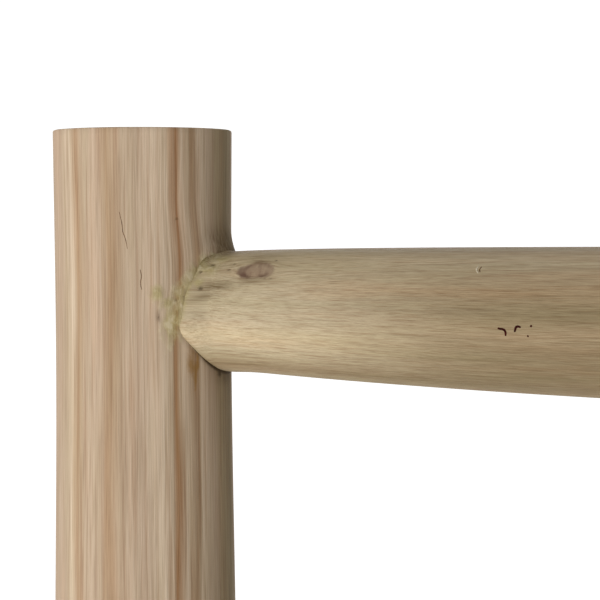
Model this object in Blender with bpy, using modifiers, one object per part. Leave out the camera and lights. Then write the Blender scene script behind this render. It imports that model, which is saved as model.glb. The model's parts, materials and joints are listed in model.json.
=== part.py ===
"""A-frame ladder shelf of peeled round poles.

A long front ladder leans back, and a shorter rear ladder swings on its fourth rung. Three loose
boards lie across the rungs of both ladders, and a strip under each edge hooks outside the rungs.
Every rung is coped to the round of its uprights, tenoned into them and held by one screw.
Metres, +Z up, front towards -Y, origin on the floor at the middle of the footprint.
"""

import math

import bmesh
import bpy
from mathutils import Matrix, Vector

# Driving dimensions
LEAN = math.radians(14)
UPRIGHT_LENGTH = 1.592
OUTER_WIDTH = 0.60
FRONT_UPRIGHT_RADIUS = 0.028
REAR_UPRIGHT_RADIUS = 0.023
SIDE_GAP = 0.007
RUNG_SPACING = 0.33
TOP_RUNG_BELOW_END = 0.054
REAR_TOP_OVER_PIVOT = 0.045
RUNG_END_RADIUS = 0.0174
PIVOT_RUNG_RADIUS = 0.0205
BOARD_THICKNESS = 0.018
BOARD_SIDE_PLAY = 0.008
BOARD_OVERHANG = 0.047
STRIP_SIDE = 0.018
STRIP_LENGTH = 0.30

# Joinery
GAP = 0.0003
TENON_RADIUS = 0.011
TENON_DEPTH = 0.034
JOURNAL_RADIUS = 0.014
SCREW_RADIUS = 0.002
SCREW_HEAD_RADIUS = 0.004
SCREW_HEAD_HEIGHT = 0.003
SCREW_LENGTH = 0.036
SCREW_HEAD_SUNK = 0.0035
SCREW_SLANT = math.radians(30)
STRIP_SCREW_LENGTH = 0.026
WASHER_RADIUS = 0.021
WASHER_EDGE = 0.001
EASED_EDGE = 0.002

# Natural shape of the poles
SWAY_WAVE = 1.15
KNUCKLE_WAVE = 0.21
KNUCKLE = 0.0004
UPRIGHT_TAPER = 0.0012
BELLY_POWER = 0.7

# How finely the round pieces are faceted
POLE_SIDES = 16
POLE_STEP = 0.11
SMALL_SIDES = 8
SHARP_ANGLE = math.radians(35)
WELD = 1e-5

# Worked out
TOP_RUNG = UPRIGHT_LENGTH - TOP_RUNG_BELOW_END
RUNG_HEIGHTS = [TOP_RUNG - RUNG_SPACING * k for k in (4, 3, 2, 1, 0)]
PIVOT = RUNG_HEIGHTS[3]
HALF_SPREAD = PIVOT * math.sin(LEAN)
PIVOT_HEIGHT = PIVOT * math.cos(LEAN)
FRONT_X = OUTER_WIDTH / 2 - FRONT_UPRIGHT_RADIUS
REAR_X = FRONT_X - FRONT_UPRIGHT_RADIUS - SIDE_GAP - REAR_UPRIGHT_RADIUS
BOARD_WIDTH = 2 * (REAR_X - REAR_UPRIGHT_RADIUS - BOARD_SIDE_PLAY)

# Each rung's belly is how much thicker it is at mid-length, and its bow is how far the middle
# lies off the straight line between its ends, across the ladder's plane and along the uprights.
SHELF_RUNG = {"belly": 0.0027, "bow": (0.0012, 0.0004)}
TOP_RUNG_SHAPE = {"belly": 0.0059, "bow": (-0.0012, -0.0051)}
RUNG_REACH = RUNG_END_RADIUS + SHELF_RUNG["belly"]
STRIP_PLAY = 0.003
BOARD_PLAY = 0.001


def clear_scene():
    for obj in list(bpy.data.objects):
        bpy.data.objects.remove(obj)


def collection(name):
    made = bpy.data.collections.new(name)
    bpy.context.scene.collection.children.link(made)
    return made


def material(name, colour, roughness, metallic=0.0):
    made = bpy.data.materials.new(name)
    made.use_nodes = True
    shader = made.node_tree.nodes["Principled BSDF"]
    shader.inputs["Base Color"].default_value = (*colour, 1.0)
    shader.inputs["Roughness"].default_value = roughness
    shader.inputs["Metallic"].default_value = metallic
    return made


def as_object(name, mesh, look, location=(0, 0, 0), rotation=(0, 0, 0)):
    obj = bpy.data.objects.new(name, mesh)
    obj.location = location
    obj.rotation_euler = rotation
    SHELF.objects.link(obj)
    mesh.materials.clear()
    mesh.materials.append(look)
    return obj


def baked(obj):
    """The object's mesh with its modifiers or its curve's bevel worked in, caps welded."""
    bpy.context.view_layer.update()
    graph = bpy.context.evaluated_depsgraph_get()
    mesh = bpy.data.meshes.new_from_object(obj.evaluated_get(graph))
    form = bmesh.new()
    form.from_mesh(mesh)
    bmesh.ops.remove_doubles(form, verts=form.verts, dist=WELD)
    bmesh.ops.recalc_face_normals(form, faces=form.faces)
    form.to_mesh(mesh)
    form.free()
    mesh.shade_smooth()
    mesh.set_sharp_from_angle(angle=SHARP_ANGLE)
    return mesh


def pole_mesh(stations, centre, radius, sides=POLE_SIDES):
    """A closed round pole whose centre line and radius follow functions of the station."""
    curve = bpy.data.curves.new("pole", "CURVE")
    curve.dimensions = "3D"
    curve.bevel_depth = 1.0
    curve.bevel_resolution = sides // 2 - 2
    curve.use_fill_caps = True
    line = curve.splines.new("POLY")
    line.points.add(len(stations) - 1)
    for point, station in zip(line.points, stations):
        point.co = (*centre(station), 1.0)
        point.radius = radius(station)
    guide = bpy.data.objects.new("pole_guide", curve)
    SHELF.objects.link(guide)
    mesh = baked(guide)
    bpy.data.objects.remove(guide)
    return mesh


def turned(profile, steps=SMALL_SIDES):
    """A solid turned about local Z, from (radius, height) pairs that run from top to bottom."""
    mesh = bpy.data.meshes.new("turned")
    points = [(radius, 0.0, height) for radius, height in profile]
    mesh.from_pydata(points, [(i, i + 1) for i in range(len(points) - 1)], [])
    blank = bpy.data.objects.new("turning_blank", mesh)
    SHELF.objects.link(blank)
    screw = blank.modifiers.new("turn", "SCREW")
    screw.steps = screw.render_steps = steps
    screw.use_merge_vertices = True
    screw.merge_threshold = WELD
    mesh = baked(blank)
    bpy.data.objects.remove(blank)
    return mesh


def cylinder(radius, low, high, steps=POLE_SIDES):
    return turned([(0, high), (radius, high), (radius, low), (0, low)], steps)


def combine(obj, mesh, operation, location=(0, 0, 0), rotation=(0, 0, 0)):
    """Cuts a mesh from an object, or joins it on, with the mesh placed in the object's parent frame."""
    tool = as_object("tool", mesh, obj.data.materials[0], location, rotation)
    step = obj.modifiers.new(operation.lower(), "BOOLEAN")
    step.operation = operation
    step.solver = "EXACT"
    step.object = tool
    result = baked(obj)
    obj.modifiers.clear()
    obj.data = result
    bpy.data.objects.remove(tool)


def stations_between(low, high, step=POLE_STEP):
    """Evenly spaced stations, with one more just inside each end for the eased edge."""
    count = max(2, round((high - low) / step))
    inner = [low + (high - low) * k / count for k in range(1, count)]
    return [low, low + EASED_EDGE, *inner, high - EASED_EDGE, high]


def upright_sway(phase, sway):
    """The slow double bend of a pole along its length, as (across, out of plane, station)."""

    def centre(s):
        across = sway * math.sin(2 * math.pi * s / SWAY_WAVE + phase)
        outward = 0.7 * sway * math.sin(2 * math.pi * s / (1.6 * SWAY_WAVE) + 2 * phase)
        return across, outward, s

    return centre


def upright_girth(radius, phase, low, high, extra=0.0):
    """A gentle taper with slight knuckles, eased at both ends."""

    def girth(s):
        knuckle = KNUCKLE * math.sin(2 * math.pi * s / KNUCKLE_WAVE + 3 * phase)
        eased = EASED_EDGE if s in (low, high) else 0.0
        return radius - UPRIGHT_TAPER * s / UPRIGHT_LENGTH + knuckle - eased + extra

    return girth


def upright(name, x, low, high, radius, phase, sway, foot, up):
    """One upright, sawn level with the floor at its foot, and the slightly larger pole that copes
    the rungs to it."""
    stations = stations_between(low, high)
    centre = upright_sway(phase, sway)
    solid = pole_mesh(stations, centre, upright_girth(radius, phase, low, high))
    cope = pole_mesh(stations, centre, upright_girth(radius, phase, low, high, GAP))
    form = bmesh.new()
    form.from_mesh(solid)
    geometry = form.verts[:] + form.edges[:] + form.faces[:]
    cut = bmesh.ops.bisect_plane(
        form, geom=geometry, plane_co=(0, 0, foot), plane_no=up, clear_inner=True
    )
    rim = [e for e in cut["geom_cut"] if isinstance(e, bmesh.types.BMEdge)]
    bmesh.ops.edgeloop_fill(form, edges=rim)
    bmesh.ops.recalc_face_normals(form, faces=form.faces)
    form.to_mesh(solid)
    form.free()
    return as_object(name, solid, POST_WOOD, (x, 0, 0)), cope


def rung_shape(half, belly, bow):
    """Centre line and radius of a rung along local X, thickest and most bowed at its middle."""

    def arch(x):
        return max(0.0, math.cos(math.pi * x / (2 * half)))

    def centre(x):
        return x, bow[0] * arch(x), bow[1] * arch(x)

    def girth(x):
        return RUNG_END_RADIUS + belly * arch(x) ** BELLY_POWER

    return centre, girth


def screw_profile(length, grow=0.0, run_out=0.0):
    """A countersunk wood screw with its head up at height 0. Grown, with a run-out above the
    head, it is the hole that the screw sits in."""
    head, shank = SCREW_HEAD_RADIUS + grow, SCREW_RADIUS + grow
    top, tip = run_out + grow, -length - grow
    under_head = -SCREW_HEAD_HEIGHT - grow
    point = tip + SCREW_HEAD_HEIGHT
    rim = [(0, top), (head, top)] + ([(head, 0)] if run_out else [])
    return rim + [(shank, under_head), (shank, point), (shank / 4, tip), (0, tip)]


def rung(name, height, x, uprights, copes, half, shape):
    """A rung coped to both uprights, with a round tenon at each end."""
    centre, girth = rung_shape(half, shape["belly"], shape["bow"])
    count = 8
    stations = [x * (2 * k / count - 1) for k in range(count + 1)]
    mesh = pole_mesh(stations, centre, girth)
    obj = as_object(name, mesh, RUNG_WOOD, (0, 0, height))
    for side, cope in zip((-1, 1), copes):
        combine(obj, cope.copy(), "DIFFERENCE", (side * x, 0, 0))
    reach = half + TENON_DEPTH
    combine(obj, cylinder(TENON_RADIUS, -reach, reach), "UNION", (0, 0, height), QUARTER_TURN_Y)
    for side, post in zip((-1, 1), uprights):
        mortise = cylinder(TENON_RADIUS + GAP, half - 0.01, reach + GAP)
        turn = (0, side * math.pi / 2, 0)
        combine(post, mortise, "DIFFERENCE", (0, 0, height), turn)
    return obj


def pivot_rung(name, height, x, uprights, copes, half):
    """The rung that the rear ladder swings on: a thick middle, and a turned journal at each end
    that passes through the rear upright and into the front one."""
    shoulder = REAR_X - REAR_UPRIGHT_RADIUS - 0.002
    reach = half + TENON_DEPTH
    core = PIVOT_RUNG_RADIUS
    journal = JOURNAL_RADIUS
    half_profile = [(0, reach), (journal, reach), (journal, shoulder)]
    half_profile += [(core - EASED_EDGE, shoulder), (core, shoulder - EASED_EDGE)]
    profile = half_profile + [(radius, -height_) for radius, height_ in reversed(half_profile)]
    obj = as_object(name, turned(profile, POLE_SIDES), RUNG_WOOD, (0, 0, height), QUARTER_TURN_Y)
    for side, post in zip((-1, 1), uprights):
        mortise = cylinder(journal + GAP, half - 0.01, reach + GAP)
        combine(post, mortise, "DIFFERENCE", (0, 0, height), (0, side * math.pi / 2, 0))
    return obj


def tenon_screws(prefix, height, x, radius, uprights, rung_object, facing):
    """One screw through each tenon, driven in between the ladder's outer face and the rung, its
    head sunk deep enough to be filled over."""
    made = []
    for side, name, post in zip((-1, 1), ("left", "right"), uprights):
        out = radius - SCREW_HEAD_SUNK
        inward = side * (x - out * math.sin(SCREW_SLANT))
        place = (inward, facing * out * math.cos(SCREW_SLANT), height)
        turn = (-facing * math.pi / 2, 0, side * facing * SCREW_SLANT)
        for piece in (post, rung_object):
            hole = turned(screw_profile(SCREW_LENGTH, GAP, run_out=0.012))
            combine(piece, hole, "DIFFERENCE", place, turn)
        mesh = turned(screw_profile(SCREW_LENGTH))
        made.append(as_object(f"{prefix}_{name}", mesh, STEEL, place, turn))
    return made


def front_ladder():
    up = Vector((0, -math.sin(LEAN), math.cos(LEAN)))
    start = -FRONT_UPRIGHT_RADIUS
    pair = [
        upright("upright_front_left", -FRONT_X, start, UPRIGHT_LENGTH,
                FRONT_UPRIGHT_RADIUS, 1.05, 0.0016, 0.0, up),
        upright("upright_front_right", FRONT_X, start, UPRIGHT_LENGTH,
                FRONT_UPRIGHT_RADIUS, 4.0, 0.0018, 0.0, up),
    ]
    uprights, copes = zip(*pair)
    half = FRONT_X - FRONT_UPRIGHT_RADIUS
    pieces = list(uprights)
    for number, height in enumerate(RUNG_HEIGHTS, start=1):
        if number == 4:
            made = pivot_rung("rung_front_4_pivot", height, FRONT_X, uprights, copes, half)
        else:
            shape = TOP_RUNG_SHAPE if number == 5 else SHELF_RUNG
            name = f"rung_front_{number}"
            made = rung(name, height, FRONT_X, uprights, copes, half, shape)
        pieces.append(made)
        pieces += tenon_screws(f"screw_front_{number}", height, FRONT_X,
                               FRONT_UPRIGHT_RADIUS, uprights, made, -1)
    return pieces + pivot_washers()


def pivot_washers():
    """A wooden washer on each journal keeps the two uprights from rubbing."""
    inner = REAR_X + REAR_UPRIGHT_RADIUS + 0.0012
    outer = FRONT_X - FRONT_UPRIGHT_RADIUS - 0.0012
    bore, edge, rim = JOURNAL_RADIUS + GAP, WASHER_EDGE, WASHER_RADIUS
    profile = [
        (bore, outer), (rim - edge, outer), (rim, outer - edge),
        (rim, inner + edge), (rim - edge, inner), (bore, inner), (bore, outer),
    ]
    made = []
    for side, name in ((-1, "left"), (1, "right")):
        turn = (0, side * math.pi / 2, 0)
        mesh = turned(profile, POLE_SIDES)
        made.append(as_object(f"pivot_washer_{name}", mesh, RUNG_WOOD, (0, 0, PIVOT), turn))
    return made


def rear_ladder():
    """Local Z runs up the rear ladder, with 0 on the pivot's axis."""
    up = Vector((0, math.sin(LEAN), math.cos(LEAN)))
    low, high = -PIVOT - REAR_UPRIGHT_RADIUS, REAR_TOP_OVER_PIVOT
    pair = [
        upright("upright_rear_left", -REAR_X, low, high,
                REAR_UPRIGHT_RADIUS, 2.4, 0.0014, -PIVOT, up),
        upright("upright_rear_right", REAR_X, low, high,
                REAR_UPRIGHT_RADIUS, 5.3, 0.0014, -PIVOT, up),
    ]
    uprights, copes = zip(*pair)
    half = REAR_X - REAR_UPRIGHT_RADIUS
    pieces = list(uprights)
    for number, height in enumerate(RUNG_HEIGHTS[:3], start=1):
        local = height - PIVOT
        name = f"rung_rear_{number}"
        made = rung(name, local, REAR_X, uprights, copes, half, SHELF_RUNG)
        pieces.append(made)
        pieces += tenon_screws(f"screw_rear_{number}", local, REAR_X,
                               REAR_UPRIGHT_RADIUS, uprights, made, 1)
    for side, post in zip((-1, 1), uprights):
        bore = cylinder(JOURNAL_RADIUS + GAP, half - 0.02, REAR_X + REAR_UPRIGHT_RADIUS + 0.02)
        combine(post, bore, "DIFFERENCE", (0, 0, 0), (0, side * math.pi / 2, 0))
    return pieces


def slab(name, size, bevel, look, location):
    """A sawn board or strip with eased edges."""
    form = bmesh.new()
    bmesh.ops.create_cube(form, size=1.0, matrix=Matrix.Diagonal((*size, 1.0)))
    mesh = bpy.data.meshes.new(name)
    form.to_mesh(mesh)
    form.free()
    obj = as_object(name, mesh, look, location)
    ease = obj.modifiers.new("eased_edges", "BEVEL")
    ease.width = bevel
    ease.segments = 2
    obj.data = baked(obj)
    obj.modifiers.clear()
    return obj


def shelf(name, height):
    """A loose board on the front and rear rungs of one height, with its two hook strips and
    their screws. Returns the pieces and the height of the board's middle."""
    centre_z = height * math.cos(LEAN)
    rung_y = HALF_SPREAD - height * math.sin(LEAN)
    under = centre_z + RUNG_REACH + BOARD_PLAY
    depth = 2 * (rung_y + BOARD_OVERHANG)
    size = (BOARD_WIDTH, depth, BOARD_THICKNESS)
    middle = Vector((0, 0, under + BOARD_THICKNESS / 2))
    board = slab(f"{name}_board", size, 0.003, BOARD_WOOD, (0, 0, 0))
    pieces = [board]
    strip_y = rung_y + RUNG_REACH + STRIP_PLAY + STRIP_SIDE / 2
    strip_z = -BOARD_THICKNESS / 2 - GAP - STRIP_SIDE / 2
    for side, edge in ((-1, "front"), (1, "rear")):
        strip = slab(f"{name}_strip_{edge}", (STRIP_LENGTH, STRIP_SIDE, STRIP_SIDE),
                     0.0015, BOARD_WOOD, (0, side * strip_y, strip_z))
        pieces.append(strip)
        for across, hand in ((-1, "left"), (1, "right")):
            x = across * STRIP_LENGTH * 0.37
            place = (x, side * strip_y, strip_z - STRIP_SIDE / 2 + 0.001)
            turn = (math.pi, 0, 0)
            for piece in (strip, board):
                hole = turned(screw_profile(STRIP_SCREW_LENGTH, GAP, run_out=0.006))
                combine(piece, hole, "DIFFERENCE", place, turn)
            mesh = turned(screw_profile(STRIP_SCREW_LENGTH))
            pieces.append(as_object(f"{name}_screw_{edge}_{hand}", mesh, STEEL, place, turn))
    return pieces, middle


def group(name, pieces, location, tilt=0.0):
    """Hangs the pieces on an empty that stands at the group's own reference point."""
    empty = bpy.data.objects.new(name, None)
    empty.location = location
    empty.rotation_euler = (tilt, 0, 0)
    SHELF.objects.link(empty)
    for piece in pieces:
        piece.parent = empty
    return empty


QUARTER_TURN_Y = (0, math.pi / 2, 0)
clear_scene()
SHELF = collection("ladder_shelf")
POST_WOOD = material("post_wood", (0.56, 0.42, 0.29), 0.72)
RUNG_WOOD = material("rung_wood", (0.50, 0.39, 0.25), 0.70)
BOARD_WOOD = material("board_wood", (0.53, 0.40, 0.26), 0.68)
STEEL = material("zinc_plated_steel", (0.62, 0.62, 0.60), 0.38, 1.0)

group("front_ladder", front_ladder(), (0, -HALF_SPREAD, 0), -LEAN)
group("rear_ladder", rear_ladder(), (0, 0, PIVOT_HEIGHT), LEAN)
for shelf_name, rung_height in zip(("lower", "middle", "upper"), RUNG_HEIGHTS):
    shelf_pieces, shelf_middle = shelf(shelf_name, rung_height)
    group(f"{shelf_name}_shelf", shelf_pieces, shelf_middle)
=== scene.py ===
# %% [markdown]
# # A ladder shelf of peeled poles
# This lesson finishes a folding ladder shelf. Its ladders are round poles with the bark peeled
# off, and its rungs are coped, which means that each end is hollowed to sit on the round of the
# upright. The joinery is already modelled and stays where it is. What is made here is everything
# that the eye sees: the poles' natural surface, the grain, knots, filler and sawn ends.

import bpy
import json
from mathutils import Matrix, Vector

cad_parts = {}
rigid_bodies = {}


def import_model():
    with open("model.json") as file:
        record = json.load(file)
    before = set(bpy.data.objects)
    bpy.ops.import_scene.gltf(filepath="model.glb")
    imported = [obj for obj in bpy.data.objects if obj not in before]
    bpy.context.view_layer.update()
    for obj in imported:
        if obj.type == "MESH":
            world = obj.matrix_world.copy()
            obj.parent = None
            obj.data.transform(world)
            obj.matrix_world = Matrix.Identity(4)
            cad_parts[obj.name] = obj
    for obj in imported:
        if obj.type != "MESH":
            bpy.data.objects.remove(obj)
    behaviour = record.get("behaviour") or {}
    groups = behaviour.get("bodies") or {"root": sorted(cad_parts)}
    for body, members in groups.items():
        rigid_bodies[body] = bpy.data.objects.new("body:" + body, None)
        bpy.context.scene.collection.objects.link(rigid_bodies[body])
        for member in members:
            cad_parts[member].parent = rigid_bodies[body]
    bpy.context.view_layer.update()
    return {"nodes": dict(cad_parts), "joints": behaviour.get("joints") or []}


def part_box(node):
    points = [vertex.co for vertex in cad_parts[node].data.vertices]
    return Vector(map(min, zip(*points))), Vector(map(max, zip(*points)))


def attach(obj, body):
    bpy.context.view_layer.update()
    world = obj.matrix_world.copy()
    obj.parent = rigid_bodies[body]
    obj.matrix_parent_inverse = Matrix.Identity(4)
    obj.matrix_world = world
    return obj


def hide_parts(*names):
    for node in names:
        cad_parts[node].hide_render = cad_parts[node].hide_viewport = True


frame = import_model()

# %% Libraries and units
import json
import math
from types import SimpleNamespace

import bmesh
import bpy
import numpy as np
from mathutils import Matrix, Vector

MM = 0.001
KINDS = ("knot", "filler", "dark", "stain", "grime", "fresh")
print("marks that a pole can carry:", ", ".join(KINDS))

# %% [markdown]
# ## Where everything stands
# Both ladders lean by the same angle and meet on the fourth rung, which is the pivot. The lean and
# the rung spacing are read from the joinery, so that a pole built in its ladder's own straight
# frame, with Z along the ladder, lands exactly on the solid that it stands for.

# %% Measure the ladders


def middle(node):
    low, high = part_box(node)
    return (low + high) / 2


rise = middle("rung_front_3") - middle("rung_front_1")
LEAN = math.atan2(rise.y, rise.z)
SPACING = rise.length / 2
PIVOT_HEIGHT = next(j["pos_m"][2] for j in frame["joints"] if j["name"] == "rear_ladder_fold")
PIVOT = PIVOT_HEIGHT / math.cos(LEAN)
HALF_SPREAD = PIVOT * math.sin(LEAN)
HEIGHTS = [PIVOT + SPACING * k for k in (-3, -2, -1, 0, 1)]
TOP_RUNG = HEIGHTS[-1]
FRONT_FRAME = Matrix.Translation((0, -HALF_SPREAD, 0)) @ Matrix.Rotation(-LEAN, 4, "X")
REAR_FRAME = Matrix.Translation((0, 0, PIVOT_HEIGHT)) @ Matrix.Rotation(LEAN, 4, "X")
print(f"lean {math.degrees(LEAN):.1f} deg, rungs {SPACING * 1000:.0f} mm apart")

# %% [markdown]
# ## Colours and nodes
# Paint charts give colours as sRGB hex values, but light adds up in linear values. One function
# turns the first into the second. Another adds a shader node, sets it up and links it, so that
# each material reads as a list of what is laid over what. The shader at the end of each material is
# set in the same way.

# %% Helpers for materials


def linear(hex_colour):
    """An sRGB hex colour as linear red, green, blue and alpha."""
    channels = [int(hex_colour[i : i + 2], 16) / 255 for i in (1, 3, 5)]
    return (*(c / 12.92 if c <= 0.04045 else ((c + 0.055) / 1.055) ** 2.4 for c in channels), 1.0)


def connect(tree, node, inputs):
    """Gives each input a value, a hex colour or another node's output."""
    for name, value in inputs.items():
        if isinstance(value, bpy.types.NodeSocket):
            tree.links.new(value, node.inputs[name])
        elif isinstance(value, str):
            node.inputs[name].default_value = linear(value)
        else:
            node.inputs[name].default_value = value


def add(tree, kind, inputs=None, stops=None, **settings):
    """Adds a node and returns its first working output."""
    made = tree.nodes.new("ShaderNode" + kind)
    for name, value in settings.items():
        setattr(made, name, value)
    connect(tree, made, inputs or {})
    if stops:
        ramp = made.color_ramp.elements
        while len(ramp) < len(stops):
            ramp.new(0.5)
        for element, (place, colour) in zip(ramp, stops):
            element.position = place
            element.color = linear(colour)
    return next(output for output in made.outputs if output.enabled)


def new_material(name):
    made = bpy.data.materials.new(name)
    made.use_nodes = True
    return made, made.node_tree, made.node_tree.nodes["Principled BSDF"]


print("white is", linear("#ffffff"))

# %% [markdown]
# ## Peeled pole
# The poles are a pale plantation hardwood, teak or eucalyptus, peeled green and smoothed with a
# drawknife. The knife cuts through the last few years' growth, so each pole is striped from end to
# end: bands 3 to 10 mm wide, cream, tan and pinkish, with soft edges. Inside the bands run
# streaks of about 1 mm, then fibres, and the pores show as short dark dashes.
#
# One way is an image of wood wrapped round the pole. The way used here is procedural: every point
# of a pole carries its own place in the log, as an attribute named `grain`, in metres, with the
# log's length on Z and its heart on the axis. The bands are a colour ramp round the log, and the
# rest is noise stretched along it. Where the pole has a knot, the mesh bends `grain` round it,
# and all the patterns follow.

# %% The layers that every pole shares


def pattern(tree, grain, across, along, detail=2.0, roughness=0.5, shift=0.0):
    """Noise whose spots are about `across` wide and `along` long on the wood, in millimetres."""
    scale = (1 / (across * MM), 1 / (across * MM), 1 / (along * MM))
    place = add(tree, "Mapping", {0: grain, 1: (shift, shift, shift), 3: scale})
    return add(tree, "TexNoise", {"Vector": place, "Scale": 1.0, "Detail": detail,
                                  "Roughness": roughness})


def lay(tree, base, top, mask, strength=1.0, blend="MIX"):
    """Lays one colour over another where the mask is 1, at a strength."""
    amount = add(tree, "Math", {0: mask, 1: strength}, operation="MULTIPLY")
    return add(tree, "Mix", {0: amount, 6: base, 7: top}, data_type="RGBA", blend_type=blend)


def round_the_log(bands):
    """Ramp stops from (degrees, colour) pairs that run from -180 to 180."""
    return [((degrees + 180) / 360, colour) for degrees, colour in bands]


def noises_of_a_pole(tree, grain, coarse, fine):
    """Every noise that the layers use. `coarse` and `fine` are the widths of streaks and fibres."""
    return SimpleNamespace(
        drift=pattern(tree, grain, 45, 170, detail=1.0),
        streak=pattern(tree, grain, coarse, 42 * coarse, roughness=0.6),
        fibre=pattern(tree, grain, fine, 85 * fine, roughness=0.6, shift=3.0),
        pores=pattern(tree, grain, 0.4 * fine, 28 * fine, roughness=0.6, shift=7.0),
        cloud=pattern(tree, grain, 2.4, 3.6, detail=3.0, roughness=0.6, shift=5.0),
        blotch=pattern(tree, grain, 4.5, 7, detail=2.0, shift=9.0),
        hue=pattern(tree, grain, 5, 75, detail=2.0, shift=11.0))


print("marks that are laid over the noises:", len(KINDS))

# %% The stripes of a pole


def stripes(tree, grain, noise, bands, fresh, peeled_last, contrast):
    """The bands round the log, tinted by streaks, fibres and pores."""
    parts = add(tree, "SeparateXYZ", {0: grain}).node.outputs
    turn = add(tree, "Math", {0: parts[0], 1: parts[1]}, operation="ARCTAN2")
    swings = ((noise.drift, 0.06), (noise.streak, 0.03))
    centre = sum(swing for _, swing in swings) / 2
    turn = add(tree, "MapRange", {0: turn, 1: -math.pi, 2: math.pi, 3: -centre, 4: 1 - centre})
    for source, swing in swings:
        turn = add(tree, "Math", {0: source, 1: swing, 2: turn}, operation="MULTIPLY_ADD")
    colour = add(tree, "ValToRGB", {0: turn}, stops=round_the_log(bands))
    new_wood = add(tree, "ValToRGB", {0: turn}, stops=round_the_log(fresh))
    colour = lay(tree, colour, new_wood, peeled_last)
    for source, dark, pale, amount in ((noise.streak, "#b9a995", "#fffaf0", 0.35),
                                       (noise.hue, "#e2e1c9", "#ffe9d8", 0.38),
                                       (noise.fibre, "#bf9f7c", "#fffcf6", 0.60),
                                       (noise.pores, "#bcb0a0", "#ffffff", 0.60)):
        tint = add(tree, "ValToRGB", {0: source}, stops=[
            (0.30, dark), (0.52, "#f6f1ea"), (0.68, pale)])
        colour = lay(tree, colour, tint, contrast, amount, "MULTIPLY")
    return colour


print("a band at 0 degrees stands at", round_the_log([(0, "#ffffff")])[0][0], "of the ramp")

# %% The marks on a pole


def torn_masks(tree, ragged, field):
    """Each mark's field cut at its rim, with a torn edge."""
    mask = {}
    for kind, tear, soft in (("stain", 1.2, 0.30), ("knot", 0.5, 0.12),
                             ("filler", 1.2, 0.30), ("dark", 0.5, 0.28)):
        torn = add(tree, "Math", {0: ragged, 1: tear, 2: field[kind]}, operation="MULTIPLY_ADD")
        mask[kind] = add(tree, "MapRange", {0: torn, 1: 0.5 - soft, 2: 0.5 + soft},
                         interpolation_type="SMOOTHSTEP")
    return mask


def marked(tree, colour, noise, field):
    """Lays stain, knots, filler, grime with painted shade, and pits over the stripes. Returns the masks
    too.
    """
    ragged = add(tree, "MapRange", {0: noise.cloud, 1: 0.25, 2: 0.75, 3: -0.2, 4: 0.2})
    mask = torn_masks(tree, ragged, field)
    colour = lay(tree, colour, "#966c28", mask["stain"], 0.70)
    heart = add(tree, "ValToRGB", {0: noise.cloud}, stops=[
        (0.30, "#775c4c"), (0.48, "#8d725d"), (0.62, "#a48c72"), (0.74, "#7f6451")])
    colour = lay(tree, colour, heart, mask["knot"], 0.78)
    rim = add(tree, "Math", {0: ragged, 1: 0.5, 2: field["knot"]}, operation="MULTIPLY_ADD")
    rim = add(tree, "ValToRGB", {0: rim}, stops=[
        (0.42, "#000000"), (0.52, "#ffffff"), (0.60, "#ffffff"), (0.76, "#000000")])
    patchy = add(tree, "MapRange", {0: noise.blotch, 1: 0.42, 2: 0.58})
    rim = add(tree, "Math", {0: rim, 1: patchy}, operation="MULTIPLY")
    colour = lay(tree, colour, "#604338", rim, 0.8)
    putty = add(tree, "ValToRGB", {0: noise.cloud}, stops=[
        (0.30, "#7d7242"), (0.48, "#a99c68"), (0.66, "#cfc29c")])
    colour = lay(tree, colour, putty, mask["filler"], 0.7)
    # The grime layer is dirt at the feet and in smudges, and painted shade in the joints' corners and
    # beside their gaps, broken up by the fibres.
    grime_and_shade_strength = add(tree, "MapRange", {0: noise.fibre, 1: 0.3, 2: 0.7, 3: 1.15, 4: 0.6})
    colour = lay(tree, colour, "#57421f", field["grime"], grime_and_shade_strength)
    return lay(tree, colour, "#4a381e", mask["dark"], 0.88), mask


def peeled_pole(name, bands, fresh, coarse, fine, contrast):
    """The finish of a peeled pole. `bands` are its colours round the log, by degrees from the
    ladder's outer face: positive towards the rung on an upright, and upwards on a rung. `fresh`
    are the colours where the pole was peeled last."""
    made, tree, shader = new_material(name)
    grain = add(tree, "Attribute", attribute_name="grain").node.outputs["Vector"]
    field = {kind: add(tree, "Attribute", attribute_name=kind).node.outputs["Fac"] for kind in KINDS}
    noise = noises_of_a_pole(tree, grain, coarse, fine)
    colour = stripes(tree, grain, noise, bands, fresh, field["fresh"], contrast)
    colour, mask = marked(tree, colour, noise, field)
    height = add(tree, "Math", {0: noise.fibre, 1: noise.pores}, operation="ADD")
    lumps = add(tree, "Math", {0: mask["filler"], 1: noise.cloud}, operation="MULTIPLY")
    height = add(tree, "Math", {0: lumps, 1: 1.5, 2: height}, operation="MULTIPLY_ADD")
    bump = add(tree, "Bump", {"Strength": 0.5, "Distance": 0.2 * MM, "Height": height})
    dry = add(tree, "MapRange", {0: noise.streak, 1: 0.3, 2: 0.7, 3: 0.68, 4: 0.58})
    dry = add(tree, "Math", {0: mask["filler"], 1: 0.15, 2: dry}, operation="MULTIPLY_ADD")
    connect(tree, shader, {"Base Color": colour, "Normal": bump, "Roughness": dry, "IOR": 1.5,
                           "Specular IOR Level": 0.2})
    return made


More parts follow.
